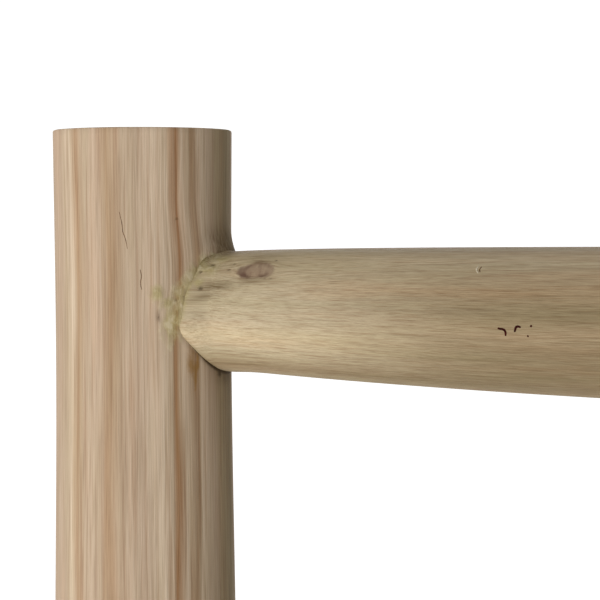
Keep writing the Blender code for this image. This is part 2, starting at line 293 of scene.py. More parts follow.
# %% Uprights and rungs
# Fresh-peeled sapwood is cream or buff. Where the knife went deeper it is tan or russet. Wood that
# was handled and rained on has gone drab, and the rungs, which are older wood, are honey coloured.
CREAM = "#dbcab4"
BUFF = "#c5b29c"
ROSE = "#c8b49f"
TAN = "#b3987b"
RUSSET = "#a98059"
SAND = "#cbbfa5"
STRAW = "#d8caab"
HONEY = "#a8977a"
DRAB = "#96886c"
UPRIGHT_BANDS = [
    (-180, BUFF), (-120, CREAM), (-75, ROSE), (-42, ROSE), (-36, BUFF), (-30, CREAM), (-24, TAN),
    (-18, BUFF), (-8, ROSE), (0, TAN), (10, BUFF), (20, ROSE), (36, CREAM), (42, RUSSET),
    (47, CREAM), (55, TAN), (60, CREAM), (70, BUFF), (80, HONEY), (92, DRAB), (120, CREAM),
    (150, TAN), (180, BUFF)]
RUNG_BANDS = [
    (-180, HONEY), (-110, SAND), (-60, DRAB), (-20, DRAB), (-5, HONEY), (10, DRAB), (25, HONEY),
    (60, SAND), (90, HONEY), (180, HONEY)]
FRESH_RUNG_BANDS = [
    (-180, SAND), (-90, SAND), (-60, HONEY), (-40, SAND), (-20, STRAW), (-5, SAND), (25, SAND),
    (60, STRAW), (90, HONEY), (130, SAND), (180, SAND)]
upright_teak = peeled_pole("peeled_teak_upright", UPRIGHT_BANDS, UPRIGHT_BANDS, 2.6, 0.7, 0.7)
rung_teak = peeled_pole("peeled_teak_rung", RUNG_BANDS, FRESH_RUNG_BANDS, 0.8, 0.32, 0.85)
print(f"{len(UPRIGHT_BANDS)} bands round an upright, {len(RUNG_BANDS)} round a rung")

# %% [markdown]
# ## Sawn ends
# The poles are cut to length with a saw. The cut shows the growth rings, a few millimetres apart
# and not quite round, a small dark heart, and drying checks that run out from it. End grain drinks
# oil and dirt, so it is darker and rougher than the sides. The same `grain` attribute serves: its
# distance from the axis gives the rings, and its angle gives the checks.

# %% End grain
YEAR = 1.9 * MM


def sawn_end():
    made, tree, shader = new_material("sawn_teak_end")
    grain = add(tree, "Attribute", attribute_name="grain").node.outputs["Vector"]
    parts = add(tree, "SeparateXYZ", {0: grain}).node.outputs
    flat = add(tree, "CombineXYZ", {0: parts[0], 1: parts[1]})
    sag = pattern(tree, flat, 16, 16, detail=2.0)
    grit = pattern(tree, flat, 0.8, 0.8, detail=2.0)
    radius = add(tree, "VectorMath", {0: flat}, operation="LENGTH")
    sway = add(tree, "MapRange", {0: sag, 1: 0.2, 2: 0.8, 3: -2.2 * MM, 4: 2.2 * MM})
    radius = add(tree, "Math", {0: radius, 1: sway}, operation="ADD")
    year = add(tree, "Math", {0: radius, 1: YEAR}, operation="DIVIDE")
    year = add(tree, "Math", {0: year}, operation="FRACT")
    colour = add(tree, "ValToRGB", {0: year}, stops=[
        (0.0, "#9d7f5c"), (0.20, "#bb9f79"), (0.55, "#c5ab86"), (0.85, "#b4966f"),
        (1.0, "#9d7f5c")])
    deep = add(tree, "MapRange", {0: radius, 1: 4 * MM, 2: 24 * MM}, interpolation_type="SMOOTHSTEP")
    colour = add(tree, "Mix", {0: deep, 6: "#b08c62", 7: colour}, data_type="RGBA")
    heart = add(tree, "MapRange", {0: radius, 1: 1.2 * MM, 2: 2.6 * MM, 3: 1.0, 4: 0.0})
    colour = lay(tree, colour, "#6b4d34", heart, 0.7)
    turn = add(tree, "Math", {0: parts[0], 1: parts[1]}, operation="ARCTAN2")
    spoke = add(tree, "CombineXYZ", {0: turn})
    split = add(tree, "TexNoise", {"Vector": spoke, "Scale": 5.0, "Detail": 1.0})
    split = add(tree, "Math", {0: sag, 1: 0.05, 2: split}, operation="MULTIPLY_ADD")
    split = add(tree, "Math", {0: split, 1: 0.525}, operation="SUBTRACT")
    split = add(tree, "Math", {0: split}, operation="ABSOLUTE")
    check = add(tree, "MapRange", {0: split, 1: 0.0, 2: 0.004, 3: 1.0, 4: 0.0})
    reach = add(tree, "MapRange", {0: radius, 1: 6 * MM, 2: 13 * MM})
    check = add(tree, "Math", {0: check, 1: reach}, operation="MULTIPLY")
    colour = lay(tree, colour, "#4a3624", check, 0.8)
    colour = lay(tree, colour, "#cdbfa9", grit, 0.4, "MULTIPLY")
    height = add(tree, "Math", {0: grit, 1: 0.5}, operation="MULTIPLY")
    height = add(tree, "Math", {0: height, 1: check}, operation="SUBTRACT")
    bump = add(tree, "Bump", {"Strength": 0.7, "Distance": 0.4 * MM, "Height": height})
    connect(tree, shader, {"Base Color": colour, "Normal": bump, "Roughness": 0.8,
                           "Specular IOR Level": 0.3})
    return made


end_teak = sawn_end()
print(f"a growth ring every {YEAR / MM:.1f} mm")

# %% [markdown]
# ## The shape of a pole
# A pole is never a true cylinder. It bends slowly, tapers, swells at its knuckles, and the
# drawknife leaves shallow facets. A displaced cylinder could show that, but a rung has to end
# exactly on its upright, so both are worked out as formulas: a point on the surface is a function
# of its station along the pole and its turn round it. The functions work on whole grids of
# stations and turns at once, with numpy.

# %% The line and girth of the poles, as the joinery has them
FRONT_X = 0.272
REAR_X = 0.214
FRONT_RADIUS = 0.028
REAR_RADIUS = 0.023
UPRIGHT_TOP = 1.592
REAR_TOP = 0.045
RUNG_RADIUS = 0.0174
UPRIGHT_TAPER = 0.0012 / UPRIGHT_TOP
SWAY_WAVE = 1.15
KNUCKLE_WAVE = 0.21
KNUCKLE = 0.0004
BELLY_POWER = 0.7


def facets(turn, along, seed, depth):
    """The drawknife's shallow flats, which wander as they run along the pole."""
    draw = np.random.default_rng(seed)
    total = 0
    for lobes in (3, 5, 8, 13):
        phase, pitch, swing = draw.uniform(0, 6.28), draw.uniform(1, 5), draw.uniform(0.3, 1.0)
        wander = phase + pitch * along + swing * np.sin(7 * along + phase)
        total = total + np.cos(lobes * turn + wander)
    return depth * total / 4


def smooth(value, low, high):
    """0 below low, 1 above high, and a smooth step between."""
    t = np.clip((value - low) / (high - low), 0, 1)
    return t * t * (3 - 2 * t)


def post_line(post, s):
    across = post.sway * np.sin(2 * np.pi * s / SWAY_WAVE + post.phase)
    outward = 0.7 * post.sway * np.sin(2 * np.pi * s / (1.6 * SWAY_WAVE) + 2 * post.phase)
    return across, outward


def post_girth(post, s):
    return (post.radius - UPRIGHT_TAPER * s
            + KNUCKLE * np.sin(2 * np.pi * s / KNUCKLE_WAVE + 3 * post.phase))


print(f"a front upright is {2000 * FRONT_RADIUS:.0f} mm thick, a rung's end {2000 * RUNG_RADIUS:.0f} mm")

# %% [markdown]
# ## Marks on a pole
# Knots, filler, pits and stains are smooth fields on the mesh: 1 at a mark's middle, 0.5 on its
# rim, and falling outside. The material cuts each field at 0.5 with some noise, which gives a
# crisp, ragged edge from a modest mesh, and the same field raises or sinks the surface. Sizes are
# half-widths in millimetres, across and along the grain.

# %% Fields


def new_fields(shape):
    return {kind: np.zeros(shape) for kind in KINDS}


def deepen(fields, kind, field):
    """Adds to a field, so that the stronger of two marks shows."""
    fields[kind] = np.maximum(fields[kind], field)


def mark(fields, kind, aside, along, wide, long, strength=1.0):
    """Adds a mark and returns its own field. aside and along are distances in metres."""
    field = strength * np.clip(1 - 0.5 * np.hypot(aside / (wide * MM), along / (long * MM)), 0, 1)
    deepen(fields, kind, field)
    return field


def line_mark(away, wide):
    """The field of a line, from the distance to it in metres and its half-width in mm."""
    return np.clip(1 - 0.5 * np.abs(away) / (wide * MM), 0, 1)


def wrapped(turn):
    return (turn + np.pi) % (2 * np.pi) - np.pi


def place_marks(fields, marks, turn, along, radius):
    """Adds (degrees, along, half-width, half-length, kind, strength, height) marks, with lengths
    in mm. Returns their relief."""
    relief = 0
    for degrees, place, wide, long, kind, strength, height in marks:
        aside = radius * wrapped(turn - math.radians(degrees))
        field = mark(fields, kind, aside, along - place * MM, wide, long, strength)
        relief = relief + height * MM * smooth(field, 0.3, 0.8)
    return relief


def place_dirt_and_shade(fields, patches, turn, along, radius):
    """Adds soft (degrees, along, half-width, half-length, slant, strength) patches of grime and of
    painted shade.
    """
    for degrees, place, wide, long, slant, strength in patches:
        down = along - place * MM
        aside = radius * wrapped(turn - math.radians(degrees)) - slant * down
        away = np.hypot(aside / (wide * MM), down / (long * MM))
        deepen(fields, "grime", strength * np.exp(-(away**2)))


print("a mark 1 mm wide, 0, 1 and 2 mm from its middle:", line_mark(np.arange(3) * MM, 1))

# %% Knots


def knots_round(fields, knots, turn, along, radius):
    """Adds knots at (degrees, along, half-width, half-length in mm). Returns their bulge and the
    turn of the grain as it flows round them."""
    bulge = 0
    flow = turn
    for degrees, place, wide, long in knots:
        aside = radius * wrapped(turn - math.radians(degrees))
        down = along - place
        lobes = 1 + 0.12 * np.sin(3 * np.arctan2(aside, down) + 40 * place)
        mark(fields, "knot", aside, down, wide * lobes, long * lobes)
        near = (0.8 * wide * MM) ** 2
        flow = flow - 0.8 * wrapped(turn - math.radians(degrees)) * near / np.maximum(
            aside**2 + (down / 2.4) ** 2, near)
        away = np.hypot(aside / wide, down / long) / MM
        bulge = bulge + 0.07 * wide * MM * np.exp(-(away / 1.7) ** 2)
        bulge = bulge - 0.05 * wide * MM * smooth(away, 1.15, 0.8)
    return bulge, flow


def scattered_knots(seed, count, low, high, biggest):
    """Knots for the stretches of pole that nobody looks at closely."""
    draw = np.random.default_rng(seed)
    knots = []
    for _ in range(count):
        wide = draw.uniform(0.45, 1.0) * biggest
        knots.append((draw.uniform(-180, 180), draw.uniform(low, high), wide,
                      wide * draw.uniform(1.0, 1.6)))
    return knots


print("a knot for a trial:", [round(v, 2) for v in scattered_knots(1, 1, 0, 1, 5)[0]])

# %% [markdown]
# ## An upright's surface
# Each rung meets the upright in a saddle-shaped curve. Round it the maker has pressed wood filler
# into the gap, and next to it, 30 degrees round from the outer face, a screw goes through the
# rung's tenon. The screw is sunk and filled over, which leaves a small hollow in a smear of
# filler. The gap itself stays as a dark line where no filler went.

# %% Surface of an upright
SCREW_TURN = math.radians(30)
JOURNAL = 0.014
JOURNAL_PLAY = 0.3 * MM
CORNER_FILL, CORNER_REACH = 2.0 * MM, 9 * MM
PACKED_FILL, PACKED_REACH = 0.9 * MM, 3.5 * MM


def lip(turn):
    """How far the lower edge of the top rung's hand-cut shoulder flares, by turn."""
    tip = 0.6 * MM * np.exp(-(((turn + 0.38) / 0.25) ** 2))
    return tip + 0.9 * MM * smooth(np.sin(turn), 0.1, -0.3)


def saddle_marks(fields, turn, s, radius, rung_at, seed, careful):
    """Filler, gap and screw hollow where a rung meets the upright. Returns the relief."""
    side_on = radius * np.cos(turn)
    down = s - rung_at
    clock = np.arctan2(down, side_on)
    edge = np.hypot(side_on, down) - RUNG_RADIUS - (lip(clock) if careful else 0)
    edge = np.where(np.sin(turn) > 0, edge, 1.0)
    phase = 1.7 * seed
    reach = 2.2 + 1.3 * np.sin(2 * clock + phase) + 0.8 * np.sin(5 * clock + 2 * phase)
    shut = smooth(np.sin(3 * clock + phase), 0.2, 0.7)
    open_wide = 0.4
    folded = np.arctan2(down, np.abs(side_on))
    if careful:
        reach = 0.3 + 2.2 * smooth(folded, -0.4, -0.1) * smooth(folded, 1.3, 0.9)
        shut = smooth(folded, -0.45, -0.25)
        open_wide = 0.22 + 0.5 * smooth(-folded, 0.6, 1.1)
    band = line_mark(edge, np.maximum(reach, 0.2))
    deepen(fields, "filler", np.where(edge < 6 * MM, band, 0))
    deepen(fields, "dark", line_mark(edge, open_wide) * (1 - 0.8 * shut))
    # Painted shade: a band about 2 mm wide beside the gap, weaker where the filler shut it.
    joint_shade = 0.45 * smooth(edge, 2.2 * MM, 0) * (1 - 0.6 * shut)
    if careful:
        corner = smooth(folded, 0.75, 1.25)
        seam = smooth(folded, 0.25, 0.6) * (1 - corner)
        under = smooth(-folded, 0.9, 1.4)
        packed = smooth(folded, -0.45, -0.1) * (1 - corner)
        # Painted shade, darker in the upper corner, along the upper seam and under the rung, fading away
        # from the edge.
        for place, fade in ((corner, 3.4 * MM), (0.6 * seam, 1.3 * MM), (0.8 * under, 1.6 * MM)):
            joint_shade = np.maximum(joint_shade, place * np.exp(-np.maximum(edge, 0) / fade))
        relief = CORNER_FILL * np.clip(1 - edge / CORNER_REACH, 0, 1) ** 2 * corner
        relief = relief + PACKED_FILL * packed * np.clip(1 - edge / PACKED_REACH, 0, 1) ** 2
    else:
        aside = radius * wrapped(turn - SCREW_TURN)
        smear = mark(fields, "filler", aside, down, 5.0, 6.5)
        hollow = mark(fields, "dark", aside, down + 2 * MM, 0.7, 2.2, 0.8)
        relief = -0.25 * MM * smooth(smear, 0.45, 0.9) - 0.5 * MM * smooth(hollow, 0.2, 0.8)
    deepen(fields, "grime", np.where(edge < 30 * MM, joint_shade, 0))
    return relief


def journal_marks(fields, turn, s, radius):
    """The worn rim where the pivot rung's journal passes through a rear upright."""
    away = np.hypot(radius * np.cos(turn), s) - JOURNAL - JOURNAL_PLAY
    away = np.where(np.abs(np.sin(turn)) > 0.6, away, 1.0)
    rim = line_mark(away, 0.9)
    deepen(fields, "dark", rim * 0.8)
    return -0.8 * MM * smooth(rim, 0.1, 0.9)


def post_surface(post, s, turn, shrink=0.0, share=1.0):
    """Points on an upright in its ladder's frame, and the fields there. shrink eases an end's
    edge, and share takes a point from the surface in towards the heart."""
    fields = new_fields(s.shape)
    girth = post_girth(post, s)
    across, outward = post_line(post, s)
    bulge, flow = knots_round(fields, post.knots, turn, s, girth)
    relief = bulge + facets(turn, s, post.seed, 0.22 * MM)
    for number, rung_at in enumerate(post.rungs):
        careful = post.careful and rung_at == post.rungs[-1]
        relief = relief + saddle_marks(fields, turn, s, girth, rung_at, post.seed + number, careful)
    if post.bored:
        relief = relief + journal_marks(fields, turn, s, girth)
    if post.careful:
        near = s - post.rungs[-1]
        relief = relief + place_marks(fields, UPRIGHT_MARKS, turn, near, girth)
        place_dirt_and_shade(fields, UPRIGHT_DIRT_AND_SHADE, turn, near, girth)
        bend = smooth(near, 34 * MM, 12 * MM) * smooth(near, -2 * MM, 8 * MM)
        flow = flow - 0.06 * bend * np.exp(-(((turn - 0.95) / 0.35) ** 2))
    foot = smooth(s, post.low + 60 * MM, post.low)
    deepen(fields, "grime", 0.8 * foot)
    radial = (girth + relief - shrink) * share
    x = post.x + across + post.inward * radial * np.sin(turn)
    y = outward + post.facing * radial * np.cos(turn)
    flow = flow + post.spin
    grain = np.stack([radial * np.sin(flow), radial * np.cos(flow), s + post.shift], -1)
    return np.stack([x, y, s], -1), grain, fields


print(f"each joint's screw sits {math.degrees(SCREW_TURN):.0f} degrees round from the outer face")

# %% [markdown]
# ## The joint at the top
# The top left joint is the one that people see close up, at eye height, so its marks are placed one
# by one. Filler is smeared over the tip of the saddle and on to the upright, with crumbs and small
# cavities along the upper edge. The lower edge was left open. Below it, resin has run from the gap
# and stained the upright orange brown.

# %% Marks of the top joint, on the upright
# Degrees round, mm above the rung's axis, half-widths in mm, kind, strength and height in mm.
UPRIGHT_MARKS = [
    (31, 5, 2.3, 2.2, "filler", 1.0, 0.05),
    (38, 2, 2.6, 2.0, "filler", 0.9, 0.05),
    (40, -4, 2.7, 5.5, "filler", 0.95, 0.08),
    (46, -1, 1.9, 5.2, "filler", 1.0, 0.10),
    (46, 5, 2.3, 2.4, "filler", 0.9, 0.0),
    (32, -2, 1.0, 2.4, "dark", 0.58, -0.6),
    (43, 3, 0.4, 0.5, "dark", 0.8, -0.2),
    (48, 4, 0.4, 0.4, "dark", 0.8, -0.2),
    (44, 27, 0.4, 0.4, "dark", 1.0, -0.3),
    (54, -16, 1.3, 3.6, "stain", 0.90, 0.0),
    (59, -15, 0.5, 2.6, "stain", 1.0, 0.0),
    (57, -20, 0.5, 4.0, "stain", 1.0, 0.0),
    # Painted shadow: a dark spot on the upright just under the rung, with no relief.
    (80, -19, 1.4, 1.1, "dark", 0.75, 0.0),
    (66, 14, 0.7, 0.5, "dark", 0.80, -0.2),
    (60, 12, 0.5, 0.5, "dark", 0.75, -0.2),
]
# The same without kind and height, but with a slant along the grain. The first three are grime by the
# stain and the filler; the last three are painted shade in the corners above and below the rung.
UPRIGHT_DIRT_AND_SHADE = [
    (40, -50, 3.4, 60.0, 0, 0.16),
    (56, -16, 2.2, 7.0, 0, 0.18),
    (44, 2, 4.0, 5.0, 0, 0.16),
    (84, 20, 7.5, 5.0, 0, 0.80),
    (70, 15, 3.0, 2.0, 0, 0.50),
    (88, -20, 5.0, 2.0, 0, 0.45),
]
print(len(UPRIGHT_MARKS), "marks and", len(UPRIGHT_DIRT_AND_SHADE), "grimy_and_shaded patches on the upright")

# %% [markdown]
# ## A rung's surface
# A rung is thinnest at its ends, where it was shaved down, and swells towards the middle. Its end
# follows the saddle: for each turn round the rung, the line along it is run out until it meets the
# round of the upright. The lower edge of the end is slightly rounded, and at the top the filler
# makes a small fillet in the corner.

# %% Surface of a rung


def saddle_end(post, s, y):
    """How far from the ladder's middle an upright's inner face stands, at a height and depth."""
    across, outward = post_line(post, s)
    girth = post_girth(post, s)
    bow = np.sqrt(np.maximum(girth**2 - (y - outward) ** 2, 0))
    return post.x + across + post.inward * bow


def rung_line(rung, x):
    arch = np.maximum(0, np.cos(np.pi * x / (2 * rung.half)))
    return (rung.bow[0] * arch, rung.bow[1] * arch,
            RUNG_RADIUS + rung.belly * arch**BELLY_POWER)


def rung_surface(rung, share, turn, core=1.0):
    """Points on a rung. share runs from 0 at the left saddle to 1 at the right one, turn from 0
    at the ladder's outer face, positive upwards. core below 1 lies inside the rung."""
    flare = lip(turn) if rung.careful else 0 * turn
    ends = []
    for post, reach in ((rung.left, RUNG_RADIUS + flare), (rung.right, RUNG_RADIUS)):
        y = rung.facing * reach * core * np.cos(turn)
        s = rung.at + reach * core * np.sin(turn)
        ends.append(saddle_end(post, s, y))
    x = ends[0] + share * (ends[1] - ends[0])
    from_end = np.minimum(x - ends[0], ends[1] - x)
    back, lift, girth = rung_line(rung, x)
    fields = new_fields(x.shape)
    bulge, flow = knots_round(fields, rung.knots, turn, x, girth)
    relief = bulge + facets(turn, x, rung.seed, 0.16 * MM)
    relief = relief + flare * np.exp(-(((x - ends[0]) / (7 * MM)) ** 2))
    top = smooth(np.sin(turn), 0.55, 0.95)
    fillet = 2.2 * MM * np.clip(1 - from_end / (3.4 * MM), 0, 1) ** 2
    ease = 0.7 * MM * np.clip(1 - from_end / (1.3 * MM), 0, 1) ** 2
    if rung.careful:
        ease = ease * smooth(np.sin(turn), -0.1, -0.4)
    relief = relief + top * fillet - (1 - top) * ease
    relief = relief + rung_end_marks(fields, rung, turn, from_end, x)
    radial = (girth + relief) * core
    y = back + rung.facing * radial * np.cos(turn)
    s = rung.at + lift + radial * np.sin(turn)
    flow = flow + rung.spin
    grain = np.stack([radial * np.sin(flow), radial * np.cos(flow), x + rung.shift], -1)
    return np.stack([x, y, s], -1), grain, fields


print(f"a rung's end is coped to a round of {1000 * FRONT_RADIUS:.0f} mm radius")

# %% Marks of a rung
# Degrees up from the outer face, mm from the upright's middle, and then as on the upright.
RUNG_MARKS = [
    (50, 34, 0.5, 0.6, "dark", 0.85, -0.3),
    (42, 33, 0.4, 0.7, "dark", 0.80, -0.2),
    (54, 47, 0.5, 0.5, "dark", 0.80, -0.3),
    (32, 47, 0.4, 0.6, "dark", 0.75, -0.2),
    (40, 24, 0.6, 0.6, "dark", 0.85, -0.3),
    (50, 27, 0.5, 0.8, "dark", 0.85, -0.3),
    (22, 25, 0.8, 0.9, "dark", 0.80, -0.4),
    (44, 27, 0.9, 0.7, "fresh", 1.0, 0.2),
    (44, 26, 2.4, 3.4, "filler", 0.90, 0.10),
    (60, 29, 2.6, 3.4, "filler", 0.85, 0.05),
    (28, 24, 1.6, 1.8, "filler", 0.85, 0.0),
]
# Grime smudges along the grain and a dark rim above the knot; the patch at 72 degrees is painted shade
# in the upper corner of the joint.
RUNG_DIRT_AND_SHADE = [
    (24, 30, 1.8, 7.5, 0.12, 0.68),
    (29, 41, 1.5, 8.0, 0.12, 0.50),
    (13, 26, 1.4, 5.0, 0.20, 0.58),
    (52, 42, 1.0, 4.5, 0.00, 0.50),
    (-5, 25, 2.8, 3.0, 0.00, 0.22),
    (44, 30, 2.6, 4.0, 0.00, 0.22),
    (72, 29, 4.0, 3.0, 0.00, 0.55),
    (60, 42, 1.6, 9.0, 0.00, 0.25),
]
FRESH_FROM = 125 * MM
FRESH_TO = 35 * MM


def rung_end_marks(fields, rung, turn, from_end, x):
    """Gap, filler and, on the top rung, the marks listed for it. Returns the relief."""
    phase = 2.3 * rung.seed
    up = np.sin(turn)
    front_left = rung.careful & (x < 0)
    reach = 1.8 + 1.2 * np.sin(3 * turn + phase)
    reach = np.where(front_left, 1.8 * smooth(up, -0.4, -0.1), reach)
    deepen(fields, "filler", 0.9 * line_mark(from_end, np.maximum(reach, 0.1)))
    shut = smooth(np.sin(2 * turn + phase), 0.2, 0.7)
    shut = np.where(front_left, smooth(up, -0.45, -0.3), shut)
    deepen(fields, "dark", line_mark(from_end, 0.3) * (1 - 0.8 * shut))
    # Painted shade: a band about 2 mm wide along the rung's end, weaker where the filler shut the gap.
    deepen(fields, "grime", 0.4 * smooth(from_end, 2 * MM, 0) * (1 - 0.6 * shut))
    if not rung.careful:
        return 0
    along = x - rung.left.x
    fields["fresh"] = smooth(along, FRESH_FROM, FRESH_TO)
    # Painted shade in the upper corner of the front left joint and along its upper seam, fading away
    # from the end.
    corner = smooth(up, 0.55, 0.98) * front_left
    seam = 0.6 * smooth(up, 0.2, 0.5) * front_left
    deepen(fields, "grime", corner * np.exp(-from_end / (3 * MM)))
    deepen(fields, "grime", seam * np.exp(-from_end / (1.3 * MM)))
    radius = rung_line(rung, x)[2]
    relief = place_marks(fields, RUNG_MARKS, turn, along, radius)
    place_dirt_and_shade(fields, RUNG_DIRT_AND_SHADE, turn, along, radius)
    return relief


print(len(RUNG_MARKS), "marks and", len(RUNG_DIRT_AND_SHADE), "grimy_and_shaded patches on the top rung")

# %% [markdown]
# ## Skin a grid
# Every pole is a grid of points, rows along it and columns round it. One function joins the grid
# into a closed mesh, stores `grain` and the fields on its points, and gives the ends their own
# material. Rows and columns are closer together where the surface is seen close up.

# %% From grid to mesh


def graded(*stretches):
    """Numbers from one (start, end, step) stretch after another, without repeats."""
    pieces = [np.linspace(a, b, max(2, round((b - a) / step)), endpoint=False)
              for a, b, step in stretches]
    return np.concatenate(pieces)


def skin(name, points, grain, fields, materials, capped_rows, matrix, ring=False):
    """A mesh on a grid of points. With ring, the last row joins the first and nothing is capped."""
    rows, columns = points.shape[:2]
    index = np.arange(rows * columns).reshape(rows, columns)
    if ring:
        index = np.concatenate([index, index[:1]])
        rows += 1
    after = np.roll(index, -1, axis=1)
    quads = np.stack([index[:-1], after[:-1], after[1:], index[1:]], -1).reshape(-1, 4)
    mesh = bpy.data.meshes.new(name)
    ends = [] if ring else [index[0][::-1].tolist(), index[-1].tolist()]
    mesh.from_pydata(points.reshape(-1, 3).tolist(), [], quads.tolist() + ends)
    row_of = np.repeat(np.arange(rows - 1), columns)
    capped = (row_of < capped_rows) | (row_of >= rows - 1 - capped_rows)
    slots = np.concatenate([capped, [True] * len(ends)]).astype(np.int32)
    slots = np.minimum(slots, len(materials) - 1)
    mesh.polygons.foreach_set("material_index", slots)
    stored = mesh.attributes.new("grain", "FLOAT_VECTOR", "POINT")
    stored.data.foreach_set("vector", grain.reshape(-1).astype(np.float32))
    for kind, field in fields.items():
        stored = mesh.attributes.new(kind, "FLOAT", "POINT")
        stored.data.foreach_set("value", field.reshape(-1).astype(np.float32))
    form = bmesh.new()
    form.from_mesh(mesh)
    bmesh.ops.recalc_face_normals(form, faces=form.faces)
    form.to_mesh(mesh)
    form.free()
    mesh.transform(matrix)
    mesh.shade_smooth()
    mesh.set_sharp_from_angle(angle=math.radians(38))
    for material in materials:
        mesh.materials.append(material)
    made = bpy.data.objects.new(name, mesh)
    bpy.context.scene.collection.objects.link(made)
    return made


def join_rows(blocks):
    """Stacks (points, grain, fields) blocks of rows into one."""
    points = np.concatenate([b[0] for b in blocks])
    grain = np.concatenate([b[1] for b in blocks])
    fields = {kind: np.concatenate([b[2][kind] for b in blocks]) for kind in KINDS}
    return points, grain, fields


def settle(piece, body, slot, *nodes):
    """Hands a finished piece over to the body that it moves with."""
    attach(piece, body)
    if nodes:
        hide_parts(*nodes)
    return piece


print("stations of a trial stretch:", graded((0, 1, 0.5), (1, 2, 0.25)))

# %% [markdown]
# ## Make the uprights
# The uprights' feet are cut level with the floor, so a foot's rows slide up or down by the lean.
# The ends are cut square to the grain at the top. Both have an edge eased with a knife.

# %% Four uprights
EDGE = 0.5 * MM
EASED = ((0.0, EDGE), (0.3 * EDGE, 0.3 * EDGE), (EDGE, 0.0))
CAP_SHARES = (0.05, 0.25, 0.45, 0.65, 0.85)


def make_upright(post, stations, turns):
    def block(s, shrink=0.0, share=1.0):
        """Rows at stations s, with those near the foot moved on to the floor."""
        grid, turn = np.meshgrid(s, turns, indexing="ij")
        outward = post_line(post, grid)[1]
        y = outward + post.facing * post_girth(post, grid) * share * np.cos(turn)
        level = -y * math.tan(post.tilt) * smooth(grid, post.low + 80 * MM, post.low)
        return post_surface(post, grid + level, turn, shrink, share)

    foot = [block([post.low], EDGE, share) for share in CAP_SHARES]
    foot += [block([post.low + up], inset) for up, inset in EASED]
    head = [block([post.high - up], inset) for up, inset in reversed(EASED)]
    head += [block([post.high], EDGE, share) for share in reversed(CAP_SHARES)]
    points, grain, fields = join_rows([*foot, block(stations), *head])
    made = skin(post.name + "_peeled", points, grain, fields, [upright_teak, end_teak],
                len(CAP_SHARES), post.matrix)
    return settle(made, post.body, "post_wood", post.name)


def front_post(side, phase, sway, seed, spin, knots):
    return SimpleNamespace(
        name="upright_front_" + ("left" if side < 0 else "right"), body="front_ladder",
        x=side * FRONT_X, inward=-side, facing=-1, radius=FRONT_RADIUS, phase=phase, sway=sway,
        low=0.0, high=UPRIGHT_TOP, tilt=-LEAN, matrix=FRONT_FRAME, seed=seed, spin=spin,
        shift=1.7 * seed, knots=knots, rungs=[h for h in HEIGHTS if h != PIVOT], bored=False,
        careful=side < 0)


def rear_post(side, phase, seed):
    return SimpleNamespace(
        name="upright_rear_" + ("left" if side < 0 else "right"), body="rear_ladder",
        x=side * REAR_X, inward=-side, facing=1, radius=REAR_RADIUS, phase=phase, sway=0.0014,
        low=-PIVOT, high=REAR_TOP, tilt=LEAN, matrix=REAR_FRAME, seed=seed, spin=1.1 * seed,
        shift=1.7 * seed, knots=scattered_knots(seed, 7, -PIVOT + 0.05, -0.08, 6.0),
        rungs=[h - PIVOT for h in HEIGHTS[:3]], bored=True, careful=False)


LEFT_KNOTS = [(-70, 0.16, 5, 8), (35, 0.41, 4, 6), (-20, 0.71, 6, 9), (100, 1.04, 5, 6),
              (-120, 1.22, 6, 8), (10, 1.31, 4, 5), (170, 1.45, 5, 8)]
left = front_post(-1, 1.05, 0.0016, 3, 0.0, LEFT_KNOTS)
right = front_post(1, 4.0, 0.0018, 8, 2.1, scattered_knots(21, 8, 0.05, 1.5, 7.5))
rear_left = rear_post(-1, 2.4, 12)
rear_right = rear_post(1, 5.3, 17)

CLOSE_ROWS = ((0.09, 1.40, 6 * MM), (1.40, left.high - 1.5 * MM, 0.6 * MM))
CLOSE_TURNS = ((-math.pi, -1.25, 0.1), (-1.25, 1.95, 0.022), (1.95, math.pi, 0.1))
PLAIN_TURNS = ((-math.pi, math.pi, 2 * math.pi / 72),)
near_foot = ((1.5 * MM, 0.09, 4 * MM),)
make_upright(left, graded(*near_foot, *CLOSE_ROWS), graded(*CLOSE_TURNS))
make_upright(right, graded(*near_foot, (0.09, right.high - 1.5 * MM, 6 * MM)), graded(*PLAIN_TURNS))
for post in (rear_left, rear_right):
    lower_end = (post.low + 1.5 * MM, post.low + 0.09, 4 * MM)
    rest = (post.low + 0.09, post.high - 1.5 * MM, 6 * MM)
    make_upright(post, graded(lower_end, rest), graded(*PLAIN_TURNS))
peeled = [piece for piece in bpy.data.objects if "_peeled" in piece.name]
print("uprights:", sum(len(piece.data.vertices) for piece in peeled), "points")

# %% [markdown]
# ## Make the rungs
# Seven rungs run from saddle to saddle. A few rows go on inside the upright so that no gap shows
# through the joint.

# %% Coped rungs


def make_rung(rung, shares, turns):
    def block(share, core=1.0):
        grid, turn = np.meshgrid(share, turns, indexing="ij")
        return rung_surface(rung, grid, turn, core)

    tuck = 1.5 * MM / (2 * rung.half)
    rows = [block([-tuck], 0.5), block([-tuck / 2], 0.9), block(shares), block([1.0]),
            block([1 + tuck / 2], 0.9), block([1 + tuck], 0.5)]
    points, grain, fields = join_rows(rows)
    made = skin(rung.name + "_peeled", points, grain, fields, [rung_teak, end_teak], 2, rung.matrix)
    return settle(made, rung.body, "rung_wood", rung.name)


def rung_between(name, posts, at, belly, bow, seed, knots=(), spin=None, careful=False):
    left_post, right_post = posts
    return SimpleNamespace(
        name=name, left=left_post, right=right_post, at=at, belly=belly, bow=bow, seed=seed,
        half=right_post.x - right_post.radius, facing=left_post.facing, knots=list(knots),
        body=left_post.body, matrix=left_post.matrix, shift=2.9 * seed,
        spin=1.3 * seed if spin is None else spin, careful=careful)


